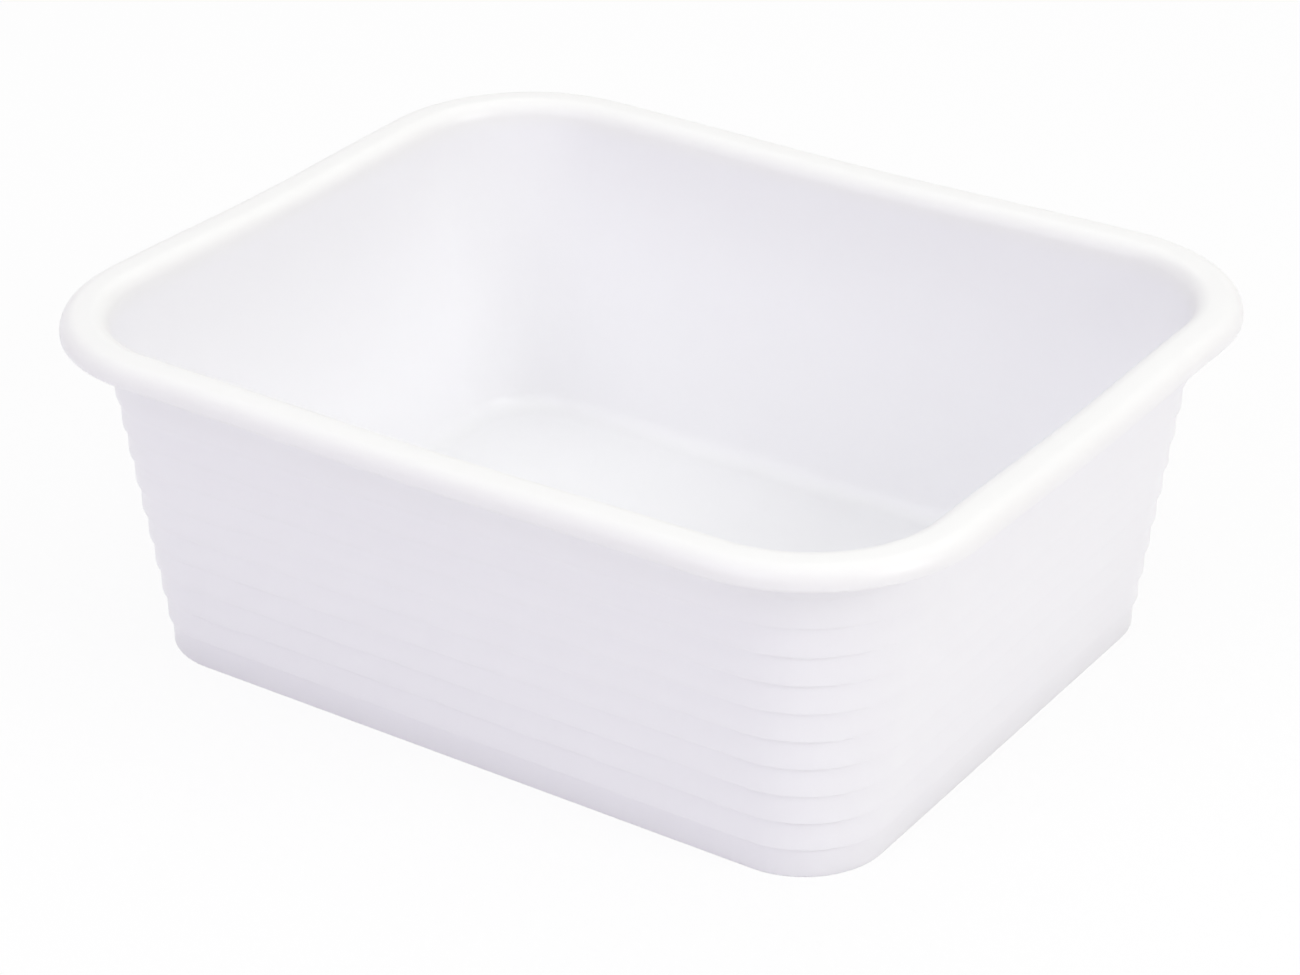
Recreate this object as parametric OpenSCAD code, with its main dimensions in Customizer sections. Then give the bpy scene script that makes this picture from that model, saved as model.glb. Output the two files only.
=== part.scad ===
// Rectangular washing up bowl, moulded in one piece.
// The stepped wall, the floor and the rolled rim are one section, carried round a rectangle with round corners.
// All sizes are in millimetres. The bowl stands on z = 0, centred, with its long side along X.

/* [Rim] */
// Length over the rim
rim_l = 380; // [340:1:460]
// Width over the rim
rim_w = 313; // [280:1:380]
// Corner radius over the rim, seen from above
rim_r = 66.7; // [60:0.1:100]
// Thickness of the rim
rim_t = 2.2; // [1.6:0.1:3]
// How far the rim stands out past the band under it
rim_reach = 16.9; // [14:0.1:22]
// Straight drop of the rim's lip, below the shoulder and above the lip's round end
lip_drop = 0.4; // [0.2:0.1:6]
// Radius of the turn from the inside face onto the rim
rim_in_r = 7; // [4:0.1:9]
// Radius of the rim's outer shoulder
rim_out_r = 6.5; // [4:0.1:9]

/* [Wall] */
// Height from the foot to the top of the rim
bowl_h = 139.5; // [110:0.5:180]
// Least thickness, between the smooth inside and the top of each band
wall_t = 1.8; // [1.4:0.1:3]

/* [Bands] */
// Number of ledges up the outside
ledge_count = 10; // [6:1:12]
// How far each band stands out past the one below it
ledge_d = 1.67; // [1:0.01:2]
// Height of the lowest band
foot_band_h = 12.1; // [9:0.1:18]

/* [Floor] */
// Thickness of the floor
floor_t = 2.6; // [2:0.1:4]
// Radius between the floor and the inside of the wall
floor_r = 10; // [6:0.5:14]
// Height of the hollow under the floor
foot_recess = 4; // [2:0.5:6]
// Width of the foot that the bowl stands on
foot_t = 3; // [2.5:0.1:5]

/* [Colour] */
// Colour of the plastic
plastic_colour = "WhiteSmoke"; // [WhiteSmoke, SteelBlue, Silver]

/* [Hidden] */
$fn = 96;
// The section below is drawn with x measured outwards from the corner centres and y as the height
corner_x = rim_l / 2 - rim_r;
corner_y = rim_w / 2 - rim_r;
lip_r = rim_t / 2;
lip_z = bowl_h - rim_out_r - lip_drop - lip_r;
rim_drop = bowl_h - lip_z;
band_h = (lip_z - foot_band_h) / ledge_count;
top_out = rim_r - rim_reach;
foot_out = top_out - ledge_count * ledge_d;
// The inside face leans out as steeply as the bands step out
lean = atan(ledge_d / band_h);
floor_z = foot_recess + floor_t;
// How far the two turns' circles reach across the leaning inside face, so that they cross it cleanly
bite = 0.02;
rim_turn = [inside_at(bowl_h - rim_in_r) + (rim_in_r - bite) / cos(lean), bowl_h - rim_in_r];
shoulder = [rim_r - rim_out_r, bowl_h - rim_out_r];
floor_turn = [inside_at(floor_z + floor_r) - (floor_r - bite) / cos(lean), floor_z + floor_r];
// How far a cut runs past the face that it opens
past = 1;

// Distance of the inside face from the corner centre at height z
function inside_at(z) = foot_out - wall_t + (z - foot_band_h) * tan(lean);

// Height of the underside of band i, counted from the foot
function band_z(i) = i == 0 ? 0 : foot_band_h + (i - 1) * band_h;

// The two outer corners of band i
function band_face(i) = [for (z = [band_z(i), band_z(i + 1)]) [foot_out + i * ledge_d, z]];

// Everything inside the stepped outer face, from the foot to the height of the lip
module stepped_block() {
    steps = [for (i = [0:ledge_count]) each band_face(i)];
    polygon(concat([[0, 0]], steps, [[0, lip_z]]));
}

// Everything under the top face of the rim, above the height of the lip
module rim_block() {
    turn_end = rim_turn + (rim_in_r - bite) * [-cos(lean), sin(lean)];
    intersection() {
        union() {
            polygon([[inside_at(lip_z), lip_z], [rim_turn.x, lip_z], rim_turn, turn_end]);
            translate(rim_turn) circle(rim_in_r);
            translate([rim_turn.x, lip_z]) square([shoulder.x - rim_turn.x, rim_drop]);
            translate(shoulder) circle(rim_out_r);
            translate([shoulder.x, lip_z]) square([rim_out_r, rim_drop - rim_out_r]);
        }
        translate([0, lip_z]) square([rim_r, rim_drop]);
    }
}

// The hollow that the rim arches over, down past the level of the lip
module under_rim() {
    turn_r = rim_in_r - rim_t;
    bend_r = rim_out_r - rim_t;
    mouth_z = lip_z - past;
    translate([top_out + turn_r, rim_turn.y]) circle(turn_r);
    translate(shoulder) circle(bend_r);
    translate([top_out, mouth_z]) square([turn_r, rim_turn.y - mouth_z]);
    translate([top_out + turn_r, mouth_z]) square([shoulder.x - top_out - turn_r, bowl_h - rim_t - mouth_z]);
    translate([shoulder.x, mouth_z]) square([bend_r, shoulder.y - mouth_z]);
}

// The room inside the bowl, with its smooth leaning wall and the round turn down to the floor
module inside_space() {
    turn_end = floor_turn + (floor_r - bite) * [cos(lean), -sin(lean)];
    open_z = bowl_h + past;
    polygon([[0, floor_turn.y], floor_turn, turn_end, [inside_at(open_z), open_z], [0, open_z]]);
    translate(floor_turn) circle(floor_r);
    translate([0, floor_z]) square([floor_turn.x, floor_r]);
}

// The shallow hollow that leaves a narrow foot round the edge of the base
module under_floor() {
    difference() {
        translate([0, -past]) square([foot_out - foot_t, floor_turn.y + past]);
        translate([0, foot_recess]) square([floor_turn.x, floor_turn.y]);
        translate(floor_turn) circle(floor_r + floor_t);
    }
}

// The section through floor, wall and rim, from a corner centre outwards
module section() {
    difference() {
        union() {
            stepped_block();
            rim_block();
        }
        inside_space();
        under_rim();
        under_floor();
        translate([rim_r - rim_t, lip_z - past]) square([rim_t + past, lip_r + past]);
    }
    translate([rim_r - lip_r, lip_z + lip_r]) circle(lip_r);
}

// A straight stretch of the section along Y, facing +X
module straight(length) {
    translate([0, length / 2, 0]) rotate([90, 0, 0]) linear_extrude(length) section();
}

// The whole bowl: four corners, four straight sides and the middle of the floor
module bowl() {
    color(plastic_colour) {
        for (i = [0:3]) {
            signs = [[1, 1], [-1, 1], [-1, -1], [1, -1]][i];
            side = [[corner_x, 0], [0, corner_y]][i % 2];
            run = 2 * [corner_y, corner_x][i % 2];
            translate([signs.x * corner_x, signs.y * corner_y, 0])
                rotate(90 * i) rotate_extrude(angle = 90) section();
            translate((i < 2 ? 1 : -1) * [side.x, side.y, 0])
                rotate(90 * i) straight(run);
        }
        translate([-corner_x, -corner_y, foot_recess])
            cube([2 * corner_x, 2 * corner_y, floor_t]);
    }
}

bowl();
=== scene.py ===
import bpy
import numpy as np
from mathutils import Matrix, Vector


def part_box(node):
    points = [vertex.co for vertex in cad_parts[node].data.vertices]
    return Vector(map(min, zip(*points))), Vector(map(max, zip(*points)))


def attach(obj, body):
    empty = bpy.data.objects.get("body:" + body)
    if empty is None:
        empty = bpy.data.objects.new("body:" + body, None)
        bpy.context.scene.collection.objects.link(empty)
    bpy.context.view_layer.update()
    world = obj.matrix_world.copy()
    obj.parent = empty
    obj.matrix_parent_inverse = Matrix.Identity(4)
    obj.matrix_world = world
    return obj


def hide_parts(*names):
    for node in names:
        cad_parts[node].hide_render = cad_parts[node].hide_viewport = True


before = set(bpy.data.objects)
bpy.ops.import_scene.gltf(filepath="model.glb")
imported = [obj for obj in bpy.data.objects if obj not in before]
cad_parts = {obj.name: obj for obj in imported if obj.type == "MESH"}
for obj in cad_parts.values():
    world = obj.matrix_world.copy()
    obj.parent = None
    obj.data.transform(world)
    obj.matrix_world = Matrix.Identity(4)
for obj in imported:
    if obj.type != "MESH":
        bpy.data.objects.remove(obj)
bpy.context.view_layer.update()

mm = 0.001
bowlLow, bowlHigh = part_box("bowl")

# The washing up bowl. Its length, width and height are the frame's own
bowlSize = {
    "length": bowlHigh.x - bowlLow.x,
    "width": bowlHigh.y - bowlLow.y,
    "height": bowlHigh.z - bowlLow.z,
    "cornerRadius": 66.7 * mm,    # over the rim, seen from above
    "rimReach": 16.9 * mm,        # rim beyond the band under it
    "rimThickness": 2.2 * mm,
    "rimTurn": 7.0 * mm,          # from the inside face onto the rim
    "rimShoulder": 6.5 * mm,      # from the rim's top down to its lip
    "lipDrop": 0.4 * mm,          # straight part of the lip
    "rimDip": 1.4 * mm,           # middle of each side below the corners
    "wall": 1.8 * mm,             # at the top of each band, where it is thinnest
    "ledges": 10,
    "ledgeDepth": 1.67 * mm,
    "ledgeEdge": 0.25 * mm,       # rounding of each ledge's outer edge
    "ledgeRoot": 0.45 * mm,       # and of the corner under it
    "footBand": 12.1 * mm,
    "footWidth": 3.0 * mm,
    "footRound": 0.7 * mm,
    "footHollow": 4.0 * mm,       # underside of the floor above the worktop
    "floorThickness": 2.6 * mm,
    "floorTurn": 10.0 * mm,       # from the floor up into the walls
    "floorCrown": 0.5 * mm,       # middle of the floor above its edge
    "flatGuard": 0.22 * mm,       # extra point beside each rounding, so that flat faces shade flat
    "cornerSteps": 24,            # round each corner of the bowl
    "sideSteps": 12,              # along each side
    "wallSteps": 12,              # up the inside wall, round the rim's turn and over its shoulder
    "lipSteps": 10,               # round the lip, and round the floor's turn
    "underRimSteps": 8,           # round each of the two turns under the rim
    "underFloorSteps": 6,         # round the turn under the floor
    "edgeSteps": 4,               # round each edge and root of a ledge, and the foot's edges
    "flatSteps": 3,               # across the rim's flat top, and under it
    "floorRings": 8,              # from the floor's middle to its turn
    "firstRing": 0.12,            # the smallest ring, as a share of the way out to the turn
}


def arc(centre, radius, start, end, steps):
    # centre plus radius times the cosine and sine of an angle in degrees that runs evenly from start to end
    turn = np.radians(np.linspace(start, end, steps + 1))
    return np.c_[centre[0] + radius * np.cos(turn), centre[1] + radius * np.sin(turn)]


def between(first, last, steps):
    # the straight line from first to last at even shares of the way, without its two ends
    share = np.linspace(0, 1, steps + 1)[1:-1, None]
    return (1 - share) * np.array(first) + share * np.array(last)


def roundedCorners(corners, radii, guard, steps):
    # Each square corner becomes corner - r in (1 - sin t) + r out (1 - cos t) for t from 0 to a right
    # angle, where in and out are the directions of travel before and after it. One more point lies a
    # guard's length before the curve and one as far after it
    corners = np.array(corners)
    run = np.diff(corners, axis=0)
    run /= np.linalg.norm(run, axis=1)[:, None]
    into, out = run[:-1, None], run[1:, None]
    middle, r = corners[1:-1, None], np.array(radii)[:, None, None]
    t = np.linspace(0, np.pi / 2, steps + 1)[None, :, None]
    curve = middle - r * into * (1 - np.sin(t)) + r * out * (1 - np.cos(t))
    before, after = middle - (r + guard) * into, middle + (r + guard) * out
    return np.concatenate([before, curve, after], axis=1).reshape(-1, 2)


def bowlSection(s):
    # The line round the wall's section, from the middle of the floor inside, over the rim and down the
    # stepped outside to the middle of the underside. Its three columns are the distance out from the
    # corner's centre, the height, and the share by which a ring is drawn in to the middle of the bowl
    lipRound = s["rimThickness"] / 2
    lipHeight = s["height"] - s["rimShoulder"] - s["lipDrop"] - lipRound
    bandHeight = (lipHeight - s["footBand"]) / s["ledges"]
    topFace = s["cornerRadius"] - s["rimReach"]
    footFace = topFace - s["ledges"] * s["ledgeDepth"]
    slope = s["ledgeDepth"] / bandHeight
    lean = np.arctan(slope)
    leanDegrees = np.degrees(lean)

    def insideAt(z):
        # the inside face leans out by one ledge's depth for each band of height
        return footFace - s["wall"] + (z - s["footBand"]) * slope

    floorHeight = s["footHollow"] + s["floorThickness"]
    turnHeight = floorHeight + s["floorTurn"]
    floorCentre = (insideAt(turnHeight) - s["floorTurn"] / np.cos(lean), turnHeight)
    rimHeight = s["height"] - s["rimTurn"]
    rimCentre = (insideAt(rimHeight) + s["rimTurn"] / np.cos(lean), rimHeight)
    shoulderCentre = (s["cornerRadius"] - s["rimShoulder"], s["height"] - s["rimShoulder"])
    lipCentre = (s["cornerRadius"] - lipRound, lipHeight + lipRound)
    underShoulderTurn = s["rimShoulder"] - s["rimThickness"]
    underRimTurn = s["rimTurn"] - s["rimThickness"]

    floorArc = arc(floorCentre, s["floorTurn"], -90, -leanDegrees, s["lipSteps"])
    rimArc = arc(rimCentre, s["rimTurn"], 180 - leanDegrees, 90, s["wallSteps"])
    shoulderArc = arc(shoulderCentre, s["rimShoulder"], 90, 0, s["wallSteps"])
    lipArc = arc(lipCentre, lipRound, 0, -180, s["lipSteps"])
    underShoulder = arc(shoulderCentre, underShoulderTurn, 0, 90, s["underRimSteps"])
    underRim = arc((topFace + underRimTurn, rimHeight), underRimTurn, 90, 180, s["underRimSteps"])

    # the turn under the floor has the centre of the one above it, and meets the foot's inner face
    footInside = footFace - s["footWidth"]
    hollowTurn = s["floorTurn"] + s["floorThickness"]
    hollowAngle = np.arcsin((footInside - floorCentre[0]) / hollowTurn)
    hollowTop = floorCentre[1] - hollowTurn * np.cos(hollowAngle)
    hollowArc = arc(floorCentre, hollowTurn, np.degrees(hollowAngle) - 90, -90, s["underFloorSteps"])

    # each ledge is a square outer edge and a square root, one depth further in than the ledge above it
    level = s["footBand"] + bandHeight * np.arange(s["ledges"] - 1, -1, -1)
    face = topFace - s["ledgeDepth"] * np.arange(s["ledges"] + 1)
    ledgeCorners = np.stack([np.c_[face[:-1], level], np.c_[face[1:], level]], axis=1).reshape(-1, 2)
    corners = [
        (topFace, rimHeight),
        *ledgeCorners,
        (footFace, 0),
        (footInside, 0),
        (footInside, hollowTop),
    ]
    radii = [s["ledgeEdge"], s["ledgeRoot"]] * s["ledges"] + [s["footRound"]] * 2
    outside = roundedCorners(corners, radii, s["flatGuard"], s["edgeSteps"])

    wallLine = np.r_[
        floorArc,
        between(floorArc[-1], rimArc[0], s["wallSteps"]),
        rimArc,
        between(rimArc[-1], shoulderArc[0], s["flatSteps"]),
        shoulderArc,
        lipArc,
        underShoulder,
        between(underShoulder[-1], underRim[0], s["flatSteps"]),
        underRim,
        outside,
        hollowArc,
    ]
    # the floor's crown is the squared cosine of the way out from its middle
    ring = np.linspace(s["firstRing"], 1, s["floorRings"] + 1)[:-1]
    crown = s["floorCrown"] * np.cos(ring * np.pi / 2) ** 2
    reach = np.full(len(ring), floorCentre[0])
    floorRings = np.c_[reach, floorHeight + crown, ring]
    underRings = np.c_[reach, s["footHollow"] + crown, ring][::-1]
    return np.r_[floorRings, np.c_[wallLine, np.ones(len(wallLine))], underRings]


def bowlPath(s):
    # Once round the rectangle through the four corner centres, anticlockwise from above. At a corner the
    # centre stays and the outward direction turns a quarter. Along a side the dip is the squared cosine
    # of the way from the side's middle, which is nought at both corners
    middle = np.array([s["length"], s["width"]]) / 2 - s["cornerRadius"]
    centres = middle * [(1, 1), (-1, 1), (-1, -1), (1, -1)]
    turn = np.radians(np.linspace(0, 90, s["cornerSteps"] + 1))
    along = np.linspace(-1, 1, s["sideSteps"] + 1)[1:-1]
    place, outward, dip = [], [], []
    for quarter, centre in enumerate(centres):
        following = centres[(quarter + 1) % len(centres)]
        angle = turn + quarter * np.pi / 2
        angle = np.r_[angle, np.full(len(along), angle[-1])]
        side = (centre + following) / 2 + along[:, None] * (following - centre) / 2
        place += [np.tile(centre, (len(turn), 1)), side]
        outward.append(np.c_[np.cos(angle), np.sin(angle)])
        dip += [np.zeros(len(turn)), np.cos(along * np.pi / 2) ** 2]
    return np.concatenate(place), np.concatenate(outward), np.concatenate(dip)


def sweptShell(name, section, place, outward, lower):
    # Point (i, j) is share_i times (place_j + distance_i outward_j), at height_i less lower_ij. The grid
    # closes on itself along the path, and its first and last rings close on a point in the middle
    distance, height, share = section.T
    plan = share[:, None, None] * (place[None] + distance[:, None, None] * outward[None])
    z = height[:, None] - lower
    rings, columns = z.shape
    grid = np.concatenate([plan, z[..., None]], axis=2).reshape(-1, 3)
    middles = [[0, 0, z[0].mean()], [0, 0, z[-1].mean()]]
    i, j = np.meshgrid(np.arange(rings - 1) * columns, np.arange(columns), indexing="ij")
    onward = (j + 1) % columns
    below = i + columns
    quads = np.stack([i + j, below + j, below + onward, i + onward], axis=-1)
    j, onward = j[0], onward[0]
    first = np.full(columns, rings * columns)
    last = (rings - 1) * columns
    caps = np.r_[np.c_[first, j, onward], np.c_[last + j, first + 1, last + onward]]
    mesh = bpy.data.meshes.new(name)
    mesh.from_pydata(np.r_[grid, middles].tolist(), [], quads.reshape(-1, 4).tolist() + caps.tolist())
    mesh.polygons.foreach_set("use_smooth", np.ones(len(mesh.polygons), bool))
    mesh.update()
    piece = bpy.data.objects.new(name, mesh)
    bpy.context.scene.collection.objects.link(piece)
    return piece


# White polypropylene with a satin face
plasticLook = {
    "bright": (0.960, 0.958, 0.978, 1),
    "dull": (0.948, 0.946, 0.968, 1),
    "rimPaintedWarmLight": (0.995, 0.995, 0.95, 1),      # painted warm light: the rim's top is tinted warmer in place of the warm lamp light that falls on it
    "paintedWarmLightHeights": (126 * mm, 137 * mm),     # heights where the painted warm light on the rim begins and where it is full
    "roughness": (0.29, 0.36),    # least and most
    "refraction": 1.49,
    "throughLight": 0.5,          # share of light that soaks in and comes out beside
    "soakDepth": 3.5 * mm,
    "soakColours": (1.0, 1.0, 1.0),          # red, green and blue soak equally deep
    "drift": (9, 3),              # flow marks: features per metre, and the finer layers added to them
    "patches": (60, 4),           # the same for the gloss, the ripple and the grain
    "ripple": (22, 1),
    "grain": (1500, 2),
    "rippleHeight": 0.12 * mm,
    "grainHeight": 0.012 * mm,
    "noiseMiddle": (0.25, 0.75),  # the part of a noise's range that most of it lies in
}


def noiseNode(nodes, links, coords, scale, detail):
    # fractal noise in the object's own coordinates
    noise = nodes.new("ShaderNodeTexNoise")
    noise.inputs["Scale"].default_value = scale
    noise.inputs["Detail"].default_value = detail
    links.new(coords.outputs["Object"], noise.inputs["Vector"])
    return noise.outputs["Fac"]


def rangeNode(nodes, links, value, source, target=(0, 1), kind="LINEAR"):
    # carries the source's range over to the target's, and holds what lies outside it at the ends
    carry = nodes.new("ShaderNodeMapRange")
    carry.interpolation_type = kind
    for limit, number in zip(("From Min", "From Max", "To Min", "To Max"), (*source, *target)):
        carry.inputs[limit].default_value = number
    links.new(value, carry.inputs["Value"])
    return carry.outputs["Result"]


def bumpNode(nodes, links, height, distance, under=None):
    # a relief of the given height, laid over the relief under it
    bump = nodes.new("ShaderNodeBump")
    bump.inputs["Distance"].default_value = distance
    links.new(height, bump.inputs["Height"])
    if under:
        links.new(under, bump.inputs["Normal"])
    return bump.outputs["Normal"]


def plasticTone(nodes, links, coords, look):
    # dull to bright by the drift, then times the rim's painted warm light by a smooth step of the height
    drift = noiseNode(nodes, links, coords, *look["drift"])
    tone = nodes.new("ShaderNodeMix")
    tone.data_type = "RGBA"
    tone.inputs["A"].default_value = look["dull"]
    tone.inputs["B"].default_value = look["bright"]
    links.new(rangeNode(nodes, links, drift, look["noiseMiddle"]), tone.inputs["Factor"])
    # painted warm light: the rim's top is tinted warmer by height, in place of the warm lamp light on it
    place = nodes.new("ShaderNodeSeparateXYZ")
    links.new(coords.outputs["Object"], place.inputs["Vector"])
    paintedWarmLightShare = rangeNode(nodes, links, place.outputs["Z"], look["paintedWarmLightHeights"], kind="SMOOTHSTEP")
    paintedWarmLight = nodes.new("ShaderNodeMix")
    paintedWarmLight.data_type = "RGBA"
    paintedWarmLight.blend_type = "MULTIPLY"
    paintedWarmLight.inputs["B"].default_value = look["rimPaintedWarmLight"]
    links.new(paintedWarmLightShare, paintedWarmLight.inputs["Factor"])
    links.new(tone.outputs["Result"], paintedWarmLight.inputs["A"])
    return paintedWarmLight.outputs["Result"]


def whitePlastic(look):
    # near whites that drift like flow marks, painted warm light on the rim, a patchy gloss, a slow ripple
    # and a fine grain
    material = bpy.data.materials.new("whitePolypropylene")
    material.use_nodes = True
    nodes, links = material.node_tree.nodes, material.node_tree.links
    shader = nodes["Principled BSDF"]
    coords = nodes.new("ShaderNodeTexCoord")
    links.new(plasticTone(nodes, links, coords, look), shader.inputs["Base Color"])
    patches = noiseNode(nodes, links, coords, *look["patches"])
    gloss = rangeNode(nodes, links, patches, look["noiseMiddle"], look["roughness"])
    links.new(gloss, shader.inputs["Roughness"])
    ripple = noiseNode(nodes, links, coords, *look["ripple"])
    ripple = bumpNode(nodes, links, ripple, look["rippleHeight"])
    grain = noiseNode(nodes, links, coords, *look["grain"])
    grain = bumpNode(nodes, links, grain, look["grainHeight"], ripple)
    links.new(grain, shader.inputs["Normal"])
    shader.inputs["IOR"].default_value = look["refraction"]
    shader.inputs["Subsurface Weight"].default_value = look["throughLight"]
    shader.inputs["Subsurface Radius"].default_value = look["soakColours"]
    shader.inputs["Subsurface Scale"].default_value = look["soakDepth"]
    return material


def makeBowl(s):
    # the dip fades with the square of the height, from all of it at the rim to none at the foot
    section = bowlSection(s)
    place, outward, dip = bowlPath(s)
    fade = np.clip(section[:, 1] / s["height"], 0, 1) ** 2
    lower = s["rimDip"] * fade[:, None] * dip[None]
    bowl = sweptShell("washingUpBowl", section, place, outward, lower)
    bowl.data.materials.append(whitePlastic(plasticLook))
    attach(bowl, "root")
    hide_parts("bowl")
    print("bowl made,", len(bowl.data.vertices), "points and", len(bowl.data.polygons), "faces")


# The room: a white floor under a soft sky and three softboxes
roomLight = {
    "skyStrength": 0.343,
    "skyColour": (0.953, 0.836, 1.0, 1),
    "backdropStrength": 1.0,      # the plain white that the camera and reflections see
    "backdropColour": (1, 1, 1, 1),
    "floorColour": (0.96, 0.96, 0.97, 1),
    "floorSize": 14.0,
    "shadowShare": 0.12,          # how much of the floor's own shading the camera sees
}
lampSettings = {
    # name: place, size, watts, colour
    "keySoftbox": ((3.2, 0.0, 1.8), 1.6, 35.2, (0.985, 1.0, 0.948)),
    "frontSoftbox": ((-0.6, -3.2, 2.1), 2.7, 35.3, (0.919, 0.919, 1.0)),
    "ceilingSoftbox": ((0.0, 0.3, 2.2), 4.0, 42.6, (0.926, 1.0, 0.882)),
}


def seenByCamera(nodes, links):
    # the largest of three marks: 1 on camera, glossy and transmission rays, 0 on the rays that light things
    path = nodes.new("ShaderNodeLightPath")
    seen = path.outputs["Is Camera Ray"]
    for ray in ("Is Glossy Ray", "Is Transmission Ray"):
        larger = nodes.new("ShaderNodeMath")
        larger.operation = "MAXIMUM"
        links.new(seen, larger.inputs[0])
        links.new(path.outputs[ray], larger.inputs[1])
        seen = larger.outputs[0]
    return seen


def shaderMix(nodes, links, factor, first, second):
    # first times one less the factor, plus second times the factor
    mix = nodes.new("ShaderNodeMixShader")
    if isinstance(factor, float):
        mix.inputs["Fac"].default_value = factor
    else:
        links.new(factor, mix.inputs["Fac"])
    links.new(first.outputs[0], mix.inputs[1])
    links.new(second.outputs[0], mix.inputs[2])
    return mix


def makeFloor(room):
    # A square about the bowl's foot. The camera and reflections see plain white with a share of shaded
    # white in it, and the rays that light the bowl see the floor's own colour
    half = room["floorSize"] / 2
    corners = [(-half, -half, 0), (half, -half, 0), (half, half, 0), (-half, half, 0)]
    mesh = bpy.data.meshes.new("paleFloor")
    mesh.from_pydata(corners, [], [(0, 1, 2, 3)])
    floor = bpy.data.objects.new("paleFloor", mesh)
    bpy.context.scene.collection.objects.link(floor)
    material = bpy.data.materials.new("paleFloor")
    material.use_nodes = True
    nodes, links = material.node_tree.nodes, material.node_tree.links
    nodes.clear()
    bounce = nodes.new("ShaderNodeBsdfDiffuse")
    bounce.inputs["Color"].default_value = room["floorColour"]
    shaded = nodes.new("ShaderNodeBsdfDiffuse")
    shaded.inputs["Color"].default_value = room["backdropColour"]
    white = nodes.new("ShaderNodeEmission")
    white.inputs["Color"].default_value = room["backdropColour"]
    white.inputs["Strength"].default_value = room["backdropStrength"]
    visible = shaderMix(nodes, links, room["shadowShare"], white, shaded)
    surface = shaderMix(nodes, links, seenByCamera(nodes, links), bounce, visible)
    out = nodes.new("ShaderNodeOutputMaterial")
    links.new(surface.outputs[0], out.inputs["Surface"])
    mesh.materials.append(material)


def makeLight(room, lamps):
    # the sky is plain white to the camera and in reflections, and each lamp faces the middle of the foot
    world = bpy.data.worlds.new("studio")
    bpy.context.scene.world = world
    world.use_nodes = True
    nodes, links = world.node_tree.nodes, world.node_tree.links
    nodes.clear()
    sky = nodes.new("ShaderNodeBackground")
    sky.inputs["Color"].default_value = room["skyColour"]
    sky.inputs["Strength"].default_value = room["skyStrength"]
    white = nodes.new("ShaderNodeBackground")
    white.inputs["Color"].default_value = room["backdropColour"]
    white.inputs["Strength"].default_value = room["backdropStrength"]
    surface = shaderMix(nodes, links, seenByCamera(nodes, links), sky, white)
    out = nodes.new("ShaderNodeOutputWorld")
    links.new(surface.outputs[0], out.inputs["Surface"])
    for name, (place, size, watts, colour) in lamps.items():
        lamp = bpy.data.lights.new(name, "AREA")
        lamp.shape = "SQUARE"
        lamp.size = size
        lamp.energy = watts
        lamp.color = colour
        holder = bpy.data.objects.new(name, lamp)
        holder.location = place
        holder.rotation_euler = (-Vector(place)).to_track_quat("-Z", "Y").to_euler()
        bpy.context.scene.collection.objects.link(holder)


# Where the photograph was taken from, in degrees and metres
cameraView = {
    "azimuth": 34.24,
    "elevation": 27.85,
    "roll": -0.30,
    "distance": 1.35535,
    "target": (0.01008, -0.01750, 0.070),
    "lens": 100.26,               # focal length and frame width in millimetres
    "frameWidth": 36,
}


def makeCamera(view):
    # back is the direction from the target to the camera, and right and up are square to it and turned by
    # the roll
    around, above, roll = (np.radians(view[k]) for k in ("azimuth", "elevation", "roll"))
    back = Vector((np.sin(around) * np.cos(above), -np.cos(around) * np.cos(above), np.sin(above)))
    right = (-back).cross(Vector((0, 0, 1))).normalized()
    up = back.cross(right)
    right, up = right * np.cos(roll) + up * np.sin(roll), up * np.cos(roll) - right * np.sin(roll)
    lens = bpy.data.cameras.new("camera")
    lens.sensor_width = view["frameWidth"]
    lens.lens = view["lens"]
    camera = bpy.data.objects.new("camera", lens)
    place = Vector(view["target"]) + back * view["distance"]
    camera.matrix_world = Matrix.Translation(place) @ Matrix((right, up, back)).transposed().to_4x4()
    bpy.context.scene.collection.objects.link(camera)
    bpy.context.scene.camera = camera


bpy.context.scene.view_settings.view_transform = "Standard"
makeBowl(bowlSize)
makeFloor(roomLight)
makeLight(roomLight, lampSettings)
makeCamera(cameraView)
print("floor, light and camera made")
